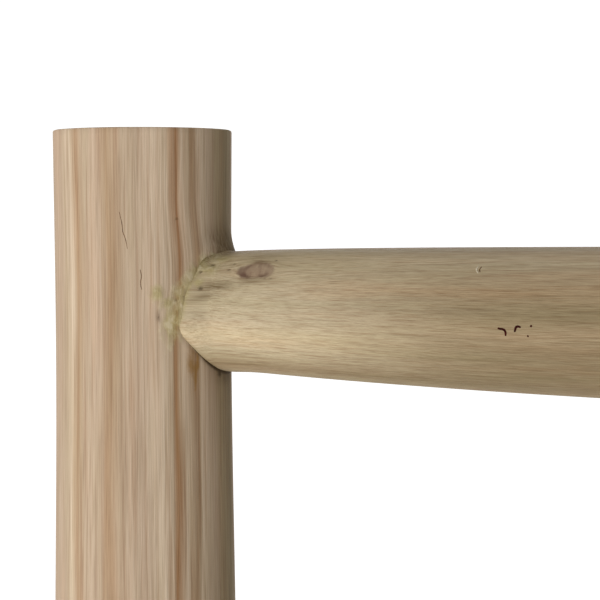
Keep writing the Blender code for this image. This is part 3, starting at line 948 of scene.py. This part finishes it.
PLAIN_SHARES = graded((0, 0.03, 0.004), (0.03, 0.97, 0.012), (0.97, 1.0, 0.004))
PLAIN_RUNG_TURNS = graded((-math.pi, math.pi, 2 * math.pi / 64))
for number, height in enumerate(HEIGHTS[:3], start=1):
    for prefix, posts, drop in (("rung_front_", (left, right), 0.0),
                                ("rung_rear_", (rear_left, rear_right), PIVOT)):
        seed = number + (10 if drop else 0)
        knots = scattered_knots(40 + seed, 3, -0.2, 0.2, 5.0)
        made = rung_between(f"{prefix}{number}", posts, height - drop, 0.0027, (0.0012, 0.0004),
                            seed, knots)
        make_rung(made, PLAIN_SHARES, PLAIN_RUNG_TURNS)

TOP_KNOTS = [(42, -FRONT_X + 42 * MM, 3.3, 5.4), (-150, 0.02, 5, 7), (120, 0.13, 4, 6)]
top_rung = rung_between("rung_front_5", (left, right), TOP_RUNG, 0.0059, (-0.0012, -0.0051), 5,
                        TOP_KNOTS, spin=0.0, careful=True)
close_part = 0.36
top_shares = graded((0, close_part, 0.0013), (close_part, 0.98, 0.01), (0.98, 1.0, 0.003))
top_turns = graded((-math.pi, -1.75, 0.12), (-1.75, 1.75, 0.03), (1.75, math.pi, 0.12))
top_piece = make_rung(top_rung, top_shares, top_turns)
print("top rung:", len(top_piece.data.vertices), "points")

# %% [markdown]
# ## Cracks and traces
# Some marks are thinner than the mesh can carry: hairline drying checks above the joint, the short
# dark tracks that an insect left under the bark, and a small crescent where the rung was knocked.
# Each is a thin thread, half sunk in the surface. It could be engraved instead, but that needs a
# far finer mesh for something a quarter of a millimetre wide. The insect's tracks follow a
# formula: a heading that swings from side to side.

# %% Places on the surface, and what fills a thread


def on_upright(degrees, up):
    turn = np.radians([[degrees]])
    return post_surface(left, np.array([[TOP_RUNG + up * MM]]), turn)[0][0, 0]


def on_top_rung(degrees, out):
    turn = np.radians([[degrees]])
    first, last = (rung_surface(top_rung, np.array([[k]]), turn)[0][0, 0, 0] for k in (0.0, 1.0))
    share = (-FRONT_X + out * MM - first) / (last - first)
    return rung_surface(top_rung, np.array([[share]]), turn)[0][0, 0]


def thin_mark(name, pale, dark, roughness):
    made, tree, shader = new_material(name)
    place = add(tree, "TexCoord").node.outputs["Object"]
    cloud = pattern(tree, place, 0.8, 0.8, detail=3.0)
    colour = add(tree, "ValToRGB", {0: cloud}, stops=[(0.35, dark), (0.65, pale)])
    connect(tree, shader, {"Base Color": colour, "Roughness": roughness,
                           "Specular IOR Level": 0.1})
    return made


print("the top joint's screw is at", np.round(on_upright(30, 0), 3))

# %% A thread


def thread(name, where, path, radius, material, slot, axis):
    """A thread along (degrees, millimetres) points, thinning out at both ends."""
    path = np.array([where(*point) for point in path])
    for _ in range(2):
        before, after = path[:-1], path[1:]
        cut = np.stack([0.75 * before + 0.25 * after, 0.25 * before + 0.75 * after], 1)
        path = np.concatenate([path[:1], cut.reshape(-1, 3), path[-1:]])
    ahead = np.gradient(path, axis=0)
    ahead /= np.linalg.norm(ahead, axis=1)[:, None]
    out = path - np.array(axis)
    out[:, 0 if where is on_top_rung else 2] = 0
    out /= np.linalg.norm(out, axis=1)[:, None]
    side = np.cross(ahead, out)
    share = np.linspace(0, 1, len(path))
    girth = radius * MM * (0.25 + 0.75 * np.sin(np.pi * share) ** 0.4)
    turn = np.linspace(0, 2 * np.pi, 8, endpoint=False)
    flat, tall = np.sin(turn)[None, :, None], 0.5 * np.cos(turn)[None, :, None]
    ring = tall * out[:, None] + flat * side[:, None]
    points = path[:, None] + girth[:, None, None] * ring
    made = skin(name, points, points, new_fields(points.shape[:2]), [material], 0, FRONT_FRAME)
    return settle(made, "front_ladder", slot)


# %% Checks, tracks and a bruise
check_dark = thin_mark("drying_check", "#7a5d40", "#4a3522", 0.9)
trace_dark = thin_mark("insect_trace", "#431109", "#240703", 0.8)
bruise = thin_mark("bruised_fibre", "#d8ccb4", "#b3a488", 0.7)
post_axis = (left.x, 0, 0)
rung_axis = (0, 0, TOP_RUNG)
CHECKS = [[(7, 29), (9, 25), (9, 23), (11, 21), (12, 18)], [(20, 12), (21, 10), (20, 8), (21, 6)]]
for number, path in enumerate(CHECKS, start=1):
    thread(f"drying_check_{number}", on_upright, path, 0.11, check_dark, "post_wood", post_axis)
TRACK_STEPS = 10
DEGREES_A_MM = 2.6


def track(degrees, out, length, heading, curl):
    """A short bent track from a place on the rung. Its heading and curl are in degrees."""
    course = np.radians(heading + curl * np.sin(np.linspace(0, 5, TRACK_STEPS)))
    step = length / TRACK_STEPS
    return list(zip(degrees + DEGREES_A_MM * step * np.cumsum(np.sin(course)),
                    out + step * np.cumsum(np.cos(course))))


TRACES = [(track(-5, 118, 4.4, -50, 45), 0.36), (track(-9, 123, 3.4, 30, 50), 0.38),
          (track(-4, 128, 0.7, 20, 0), 0.32), (track(-11, 127, 0.6, -30, 0), 0.28)]
for number, (path, width) in enumerate(TRACES, start=1):
    thread(f"insect_trace_{number}", on_top_rung, path, width, trace_dark, "rung_wood", rung_axis)
thread("bruise_pale", on_top_rung, [(47, 110.5), (43, 110), (39, 111)], 0.25,
       bruise, "rung_wood", rung_axis)
thread("bruise_dark", on_top_rung, [(46, 111.5), (43, 111), (40, 111.5)], 0.17,
       check_dark, "rung_wood", rung_axis)
print(len(CHECKS), "checks,", len(TRACES), "insect traces, one bruise")

# %% [markdown]
# ## The pivot rung and its washers
# The fourth rung is the hinge. Its middle is as thick as the others, but its ends are turned down
# to journals that pass through the rear uprights and are glued into the front ones. A thin turned
# washer on each journal keeps the uprights apart. Both are profiles swept round an axis, which is
# the same grid of rows and columns with no saddle at the ends.

# %% Turned pieces
PIVOT_CORE = 0.0205
SHOULDER = REAR_X - REAR_RADIUS - 2 * MM


def turned_grid(profile, turns, seed, depth):
    """Rows of (x, radius) pairs about the X axis, with the lathe's faint waves."""
    x, radius = np.array(profile).T
    x, turn = np.meshgrid(x, turns, indexing="ij")
    radial = radius[:, None] + facets(turn, x, seed, depth)
    points = np.stack([x, -radial * np.cos(turn), radial * np.sin(turn)], -1)
    grain = np.stack([radial * np.sin(turn), radial * np.cos(turn), x + 1.9 * seed], -1)
    return points, grain, new_fields(x.shape)


def make_pivot_rung():
    corner = 2 * MM
    core = [(x, PIVOT_CORE) for x in np.linspace(-SHOULDER + corner, SHOULDER - corner, 60)]
    left_end = [(-FRONT_X, JOURNAL), (-SHOULDER - 0.3 * MM, JOURNAL), (-SHOULDER, JOURNAL),
                (-SHOULDER, PIVOT_CORE - corner), (-SHOULDER + 0.6 * MM, PIVOT_CORE - 0.5 * MM)]
    right_end = [(-x, radius) for x, radius in reversed(left_end)]
    points, grain, fields = turned_grid(left_end + core + right_end, PLAIN_RUNG_TURNS, 6, 0.15 * MM)
    place = FRONT_FRAME @ Matrix.Translation((0, 0, PIVOT))
    made = skin("rung_front_4_turned", points, grain, fields, [rung_teak, end_teak], 0, place)
    return settle(made, "front_ladder", "rung_wood", "rung_front_4_pivot")


def make_washer(node):
    low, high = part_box(node)
    inner, outer, edge = low.x, high.x, 0.9 * MM
    bore, rim = JOURNAL + JOURNAL_PLAY, (high.z - low.z) / 2
    profile = [(inner, bore), (inner, rim - edge), (inner + 0.3 * edge, rim - 0.3 * edge),
               (inner + edge, rim), (outer - edge, rim), (outer - 0.3 * edge, rim - 0.3 * edge),
               (outer, rim - edge), (outer, bore)]
    points, grain, fields = turned_grid(profile, PLAIN_RUNG_TURNS, 9, 0.05 * MM)
    grain = grain[..., [0, 2, 1]]
    place = FRONT_FRAME @ Matrix.Translation((0, 0, PIVOT))
    made = skin(node + "_turned", points, grain, fields, [rung_teak], 0, place, ring=True)
    return settle(made, "front_ladder", "rung_wood", node)


make_pivot_rung()
for side in ("left", "right"):
    make_washer(f"pivot_washer_{side}")
print(f"journals {2000 * JOURNAL:.0f} mm thick in a {2000 * PIVOT_CORE:.0f} mm rung")

# %% [markdown]
# ## Planed boards
# Each shelf is one loose board, glued up from staves about 90 mm wide and planed. The staves are
# plain-sawn: the saw cut across the curve of the growth rings, so their lines lie wide apart in
# the middle of a stave and close together at its sides, and they wander along the board. The
# rings are computed as distances from a heart that lies below each stave, and every stave gets
# its own tone, which is what makes a glued board look like one.

# %% Board finish
STAVE = 0.0915
RING = 3.4 * MM
HEART_DEPTH = 34 * MM


def board_rings(tree, parts, aside, chance, wander, streak):
    """Growth rings round a heart that lies under each stave, as a fraction of a year."""
    offset = add(tree, "MapRange", {0: chance, 1: 0, 2: 1, 3: -0.35, 4: 0.35},
                 interpolation_type="SMOOTHSTEP")
    off_heart = add(tree, "Math", {0: aside, 1: offset}, operation="ADD")
    off_heart = add(tree, "Math", {0: off_heart, 1: STAVE}, operation="MULTIPLY")
    depth = add(tree, "Math", {0: parts[1], 1: HEART_DEPTH}, operation="SUBTRACT")
    heart = add(tree, "CombineXYZ", {0: off_heart, 1: depth})
    radius = add(tree, "VectorMath", {0: heart}, operation="LENGTH")
    for noise, swing in ((wander, 11 * MM), (streak, 0.5 * MM)):
        sway = add(tree, "MapRange", {0: noise, 1: 0.2, 2: 0.8, 3: -swing, 4: swing},
                   interpolation_type="SMOOTHSTEP")
        radius = add(tree, "Math", {0: radius, 1: sway}, operation="ADD")
    year = add(tree, "Math", {0: radius, 1: RING}, operation="DIVIDE")
    return add(tree, "Math", {0: year}, operation="FRACT")


def planed_board():
    made, tree, shader = new_material("planed_teak_board")
    grain = add(tree, "Attribute", attribute_name="grain").node.outputs["Vector"]
    worn = add(tree, "Attribute", attribute_name="grime").node.outputs["Fac"]
    parts = add(tree, "SeparateXYZ", {0: grain}).node.outputs
    stave = add(tree, "Math", {0: parts[0], 1: STAVE}, operation="DIVIDE")
    number = add(tree, "Math", {0: stave}, operation="FLOOR")
    aside = add(tree, "Math", {0: stave}, operation="FRACT")
    aside = add(tree, "Math", {0: aside, 1: 0.5}, operation="SUBTRACT")
    chance = add(tree, "TexWhiteNoise", {"W": number}, noise_dimensions="1D")
    slide = add(tree, "Math", {0: number, 1: 3.7, 2: parts[2]}, operation="MULTIPLY_ADD")
    own = add(tree, "CombineXYZ", {0: parts[0], 1: parts[1], 2: slide})
    wander = pattern(tree, own, 60, 260, detail=1.0)
    streak = pattern(tree, own, 2.2, 120, detail=3.0, roughness=0.6)
    fibre = pattern(tree, own, 0.6, 18, detail=2.0)
    pore = pattern(tree, own, 0.45, 5.0, detail=1.0)

    year = board_rings(tree, parts, aside, chance, wander, streak)
    colour = add(tree, "ValToRGB", {0: year}, stops=[
        (0.0, "#b79c79"), (0.10, "#cfb793"), (0.50, "#d5be9b"), (0.88, "#c3a985"),
        (1.0, "#b79c79")])
    tone = add(tree, "ValToRGB", {0: chance}, stops=[
        (0.0, "#e3d6c4"), (0.35, "#fff8ec"), (0.65, "#ecdfcd"), (1.0, "#f8e9d6")])
    colour = lay(tree, colour, tone, 1.0, 1.0, "MULTIPLY")
    strands = add(tree, "ValToRGB", {0: fibre}, stops=[
        (0.32, "#d9cbb8"), (0.50, "#ffffff"), (0.68, "#fffaf2")])
    colour = lay(tree, colour, strands, 1.0, 0.6, "MULTIPLY")
    pores = add(tree, "MapRange", {0: pore, 1: 0.62, 2: 0.70}, interpolation_type="SMOOTHSTEP")
    seam = add(tree, "Math", {0: aside}, operation="ABSOLUTE")
    seam = add(tree, "MapRange", {0: seam, 1: 0.497, 2: 0.4995}, interpolation_type="SMOOTHSTEP")
    for tint, mask, amount in (("#86694b", pores, 0.4), ("#6b5238", seam, 0.6),
                               ("#8b7a64", worn, 0.4)):
        colour = lay(tree, colour, tint, mask, amount)
    height = add(tree, "Math", {0: fibre, 1: 0.4}, operation="MULTIPLY")
    height = add(tree, "Math", {0: pores, 1: -0.5, 2: height}, operation="MULTIPLY_ADD")
    height = add(tree, "Math", {0: height, 1: seam}, operation="SUBTRACT")
    bump = add(tree, "Bump", {"Strength": 0.5, "Distance": 0.25 * MM, "Height": height})
    gloss = add(tree, "MapRange", {0: fibre, 1: 0.3, 2: 0.7, 3: 0.6, 4: 0.5},
                interpolation_type="SMOOTHSTEP")
    connect(tree, shader, {"Base Color": colour, "Normal": bump, "Roughness": gloss, "IOR": 1.5,
                           "Specular IOR Level": 0.4})
    return made


board_teak = planed_board()
print(f"staves {STAVE * 1000:.0f} mm wide, a ring every {RING * 1000:.1f} mm")

# %% [markdown]
# ## Boards and strips
# A board is a rounded rectangle swept along its grain, from front to back, so it is a grid too.
# The strips are the same with a small square section. Under each strip two countersunk screws sit
# in shallow seats, which are pressed into the grid, whose rows lie close together there.

# %% Sawn pieces
EASE = 2.4 * MM
HEAD = 4.0 * MM
SEAT_RADIUS = 5.0 * MM
SEAT_DEPTH = 2.0 * MM
SEAT_MARGIN = 7 * MM


def rounded_outline(width, thickness, ease, step):
    """Points round a rectangle with rounded corners, as x and z."""
    flat_x, flat_z = width / 2 - ease, thickness / 2 - ease
    corners = [(flat_x, flat_z), (-flat_x, flat_z), (-flat_x, -flat_z), (flat_x, -flat_z)]
    points = []
    for number, (x, z) in enumerate(corners):
        for angle in np.radians(np.linspace(90 * number, 90 * number + 90, 5)):
            points.append((x + ease * math.cos(angle), z + ease * math.sin(angle)))
        ahead = corners[(number + 1) % 4]
        gap = math.dist((x, z), ahead)
        count = max(1, round(gap / step))
        side = np.radians(90 * number + 90)
        for k in range(1, count):
            points.append((x + (ahead[0] - x) * k / count + ease * math.cos(side),
                           z + (ahead[1] - z) * k / count + ease * math.sin(side)))
    return np.array(points)


def make_slab(name, node, body, centre, size, turn_z, seed, step, seats=()):
    """A sawn piece along local Y. seats are the stations of screws in its underside."""
    width, length, thickness = size
    ease = min(EASE, 0.12 * thickness)
    outline = rounded_outline(width, thickness, ease, step)
    stretches = [(-length / 2 + 2 * ease, length / 2 - 2 * ease, 5 * step)]
    for seat in seats:
        start, end, wide = stretches.pop()
        near, far = seat - SEAT_MARGIN, seat + SEAT_MARGIN
        stretches += [(start, near, wide), (near, far, 0.6 * MM), (far, end, wide)]
    y = graded(*stretches)
    rows = [(-length / 2, share, ease) for share in (0.05, 0.4, 0.75, 0.93)]
    rows += [(-length / 2, 1.0, ease), (-length / 2 + 0.3 * ease, 1.0, 0.3 * ease),
             (-length / 2 + ease, 1.0, 0.0)]
    far_end = [(-at, share, cut) for at, share, cut in reversed(rows)]
    rows = rows + [(at, 1.0, 0.0) for at in y] + far_end
    at, share, cut = (np.array(column)[:, None] for column in zip(*rows))
    x = outline[:, 0] * (1 - 2 * cut / width) * share
    z = outline[:, 1] * (1 - 2 * cut / thickness) * share
    at = np.broadcast_to(at, x.shape)
    draw = np.random.default_rng(seed)
    warp = 0.25 * MM * np.sin(9 * at + draw.uniform(0, 6)) + 0.15 * MM * np.sin(31 * x + 14 * at)
    edge = np.minimum(np.minimum(width / 2 - np.abs(x), length / 2 - np.abs(at)), 6 * MM)
    fields = new_fields(x.shape)
    fields["grime"] = 0.8 * smooth(edge, 4 * MM, 0)
    hollow = 0
    for seat in seats:
        away = np.hypot(x, at - seat)
        hollow = hollow + np.where(z < 0, smooth(away, SEAT_RADIUS, HEAD), 0)
    warp = warp if thickness < width / 3 else 0
    points = np.stack([x, at, z + warp + SEAT_DEPTH * hollow], -1)
    across = x if not seats else x + (seed % 7) * 0.013
    grain = np.stack([across, z, at + 1.3 * seed], -1)
    place = Matrix.Translation(centre) @ Matrix.Rotation(turn_z, 4, "Z")
    made = skin(name, points, grain, fields, [board_teak], 4, place)
    return settle(made, body, "board_wood", node)


for seed, shelf in enumerate(("lower", "middle", "upper"), start=1):
    body = f"{shelf}_shelf"
    low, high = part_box(f"{shelf}_board")
    size = high - low
    make_slab(f"{shelf}_board_planed", f"{shelf}_board", body, (low + high) / 2,
              (size.x, size.y, size.z), 0.0, seed, 4 * MM)
    for edge in ("front", "rear"):
        node = f"{shelf}_strip_{edge}"
        low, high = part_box(node)
        size = high - low
        centre = (low + high) / 2
        screws = [middle(f"{shelf}_screw_{edge}_{hand}").x - centre.x for hand in ("left", "right")]
        seats = sorted(-x for x in screws)
        make_slab(f"{node}_planed", node, body, centre, (size.y, size.x, size.z), math.pi / 2,
                  seed + (3 if edge == "front" else 6), 1.2 * MM, seats)
print("three boards, six strips")

# %% [markdown]
# ## Screws
# The screws are zinc-plated steel: bright, cool grey, with a faint yellow bloom and a roughness
# that shows as a soft, blurred shine. Only the heads of the strips' screws can be seen, so those
# get a turned head with a cross recess. The others are hidden under filler.

# %% Zinc plating and screw heads
SHANK = 2.0 * MM
RECESS_DEPTH = 1.2 * MM


def zinc_plate():
    made, tree, shader = new_material("zinc_plated_steel")
    place = add(tree, "TexCoord").node.outputs["Object"]
    cloud = pattern(tree, place, 2.5, 2.5, detail=3.0)
    colour = add(tree, "ValToRGB", {0: cloud}, stops=[
        (0.35, "#b9b7ae"), (0.55, "#cfd0d0"), (0.7, "#d8d3c2")])
    scratch = pattern(tree, place, 0.25, 2.0, detail=2.0)
    dull = add(tree, "MapRange", {0: cloud, 1: 0.3, 2: 0.7, 3: 0.28, 4: 0.46},
               interpolation_type="SMOOTHSTEP")
    bump = add(tree, "Bump", {"Strength": 0.25, "Distance": 0.05 * MM, "Height": scratch})
    connect(tree, shader, {"Base Color": colour, "Roughness": dull, "Normal": bump,
                           "Metallic": 1.0})
    return made


zinc = zinc_plate()


def make_screw(node, body):
    low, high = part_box(node)
    length = high.z - low.z
    profile = [(share * HEAD, 0.0) for share in np.linspace(0.02, 0.94, 28)]
    profile += [(0.985 * HEAD, -0.1 * MM), (HEAD, -0.3 * MM), (SHANK, -2.9 * MM),
                (SHANK, -length + 3 * MM), (0.5 * MM, -length)]
    radius, depth = np.array(profile).T
    turns = np.linspace(0, 2 * math.pi, 96, endpoint=False)
    radius, turn = np.meshgrid(radius, turns, indexing="ij")
    depth = np.repeat(depth[:, None], len(turns), axis=1)
    x, y = radius * np.cos(turn), radius * np.sin(turn)
    off_cross = np.minimum(np.abs(x), np.abs(y))
    out_on_arm = np.maximum(np.abs(x), np.abs(y))
    recess = smooth(off_cross, 0.62 * MM, 0.38 * MM) * smooth(out_on_arm, 2.3 * MM, 1.7 * MM)
    depth = depth - RECESS_DEPTH * np.where(depth > -0.05 * MM, recess, 0)
    points = np.stack([x, y, depth], -1)
    head_at = Vector(((low.x + high.x) / 2, (low.y + high.y) / 2, low.z))
    head_down = Matrix.Rotation(math.pi, 4, "X")
    driven = Matrix.Rotation(0.4 + 9 * low.x, 4, "Z")
    place = Matrix.Translation(head_at) @ head_down @ driven
    made = skin(node + "_head", points, points, new_fields(x.shape), [zinc], 0, place)
    return settle(made, body, "zinc_plated_steel", node)


for shelf in ("lower", "middle", "upper"):
    for edge in ("front", "rear"):
        for hand in ("left", "right"):
            make_screw(f"{shelf}_screw_{edge}_{hand}", f"{shelf}_shelf")
hidden = [o for name, o in frame["nodes"].items() if name.startswith("screw_")]
for screw in hidden:
    screw.data.materials.clear()
    screw.data.materials.append(zinc)
print(len(hidden), "screws under filler, 12 in the strips")

# %% [markdown]
# ## Studio
# The floor is pale and plain, the light soft. A large lamp stands to the left of the front, at
# the height of the top rung, so the poles are bright on the left and fall into shade on the
# right. The rest of the room is a pale even glow.

# %% Floor, room and lamp
FLOOR_HALF = 60.0
FLOOR_GLOW = 0.68
ROOM_GLOW = 0.52
LAMP_SIZE = 1.5


def studio():
    mesh = bpy.data.meshes.new("floor")
    corners = [(-FLOOR_HALF, -FLOOR_HALF, 0), (FLOOR_HALF, -FLOOR_HALF, 0),
               (FLOOR_HALF, FLOOR_HALF, 0), (-FLOOR_HALF, FLOOR_HALF, 0)]
    mesh.from_pydata(corners, [], [(0, 1, 2, 3)])
    floor = bpy.data.objects.new("floor", mesh)
    bpy.context.scene.collection.objects.link(floor)
    made, tree, shader = new_material("painted_studio_floor")
    seen = add(tree, "LightPath").node.outputs["Is Camera Ray"]
    glow = add(tree, "MapRange", {0: seen, 3: 0.0, 4: FLOOR_GLOW})
    connect(tree, shader, {"Base Color": "#ececec", "Roughness": 0.9, "Emission Color": "#ffffff",
                           "Emission Strength": glow})
    mesh.materials.append(made)

    world = bpy.data.worlds.new("pale_room")
    world.use_nodes = True
    tree = world.node_tree
    seen = add(tree, "LightPath").node.outputs["Is Camera Ray"]
    strength = add(tree, "MapRange", {0: seen, 3: ROOM_GLOW, 4: 1.0})
    connect(tree, tree.nodes["Background"], {"Color": "#ffffff", "Strength": strength})
    bpy.context.scene.world = world


def lamp(name, place, target, size, power):
    light = bpy.data.lights.new(name, "AREA")
    light.size = size
    light.energy = power
    made = bpy.data.objects.new(name, light)
    made.location = place
    made.rotation_euler = (target - Vector(place)).to_track_quat("-Z", "Y").to_euler()
    made.visible_camera = False
    bpy.context.scene.collection.objects.link(made)


studio()
joint = FRONT_FRAME @ Vector((-FRONT_X, 0, TOP_RUNG))
for name, offset, power in (("soft_key", (-1.3, -2.7, -0.4), 68),
                            ("soft_back", (-1.2, 2.8, 0.2), 24)):
    lamp(name, joint + Vector(offset), joint, LAMP_SIZE, power)
print("joint at", [round(v, 3) for v in joint])

# %% [markdown]
# ## Camera
# The camera looks at the top left joint, square to the leaning upright and 20 degrees round
# towards the rung, through a long lens that keeps the poles' sides nearly parallel.

# %% Camera
VIEW_TURN = math.radians(20)
DISTANCE = 1.2
FIELD = 0.1806
ASIDE = 0.0470
ABOVE = 0.0030

towards = Vector((math.sin(VIEW_TURN), -math.cos(VIEW_TURN), 0))
aside = Vector((math.cos(VIEW_TURN), math.sin(VIEW_TURN), 0))
across, outward = post_line(left, TOP_RUNG)
aim = Vector((-FRONT_X + across, outward, TOP_RUNG)) + aside * ASIDE + Vector((0, 0, ABOVE))
eye = aim + towards * DISTANCE
lens = bpy.data.cameras.new("long_lens")
lens.lens = lens.sensor_width * DISTANCE / FIELD
lens.clip_end = 200
camera = bpy.data.objects.new("camera", lens)
turned = Matrix((aside, Vector((0, 0, 1)), towards)).transposed().to_4x4()
camera.matrix_world = FRONT_FRAME @ Matrix.Translation(eye) @ turned
bpy.context.scene.collection.objects.link(camera)
bpy.context.scene.camera = camera
bpy.context.scene.view_settings.view_transform = "Standard"
print(f"lens {lens.lens:.0f} mm, {DISTANCE} m away")

# %% [markdown]
# ## Finish

# %% Finish
bpy.context.view_layer.update()
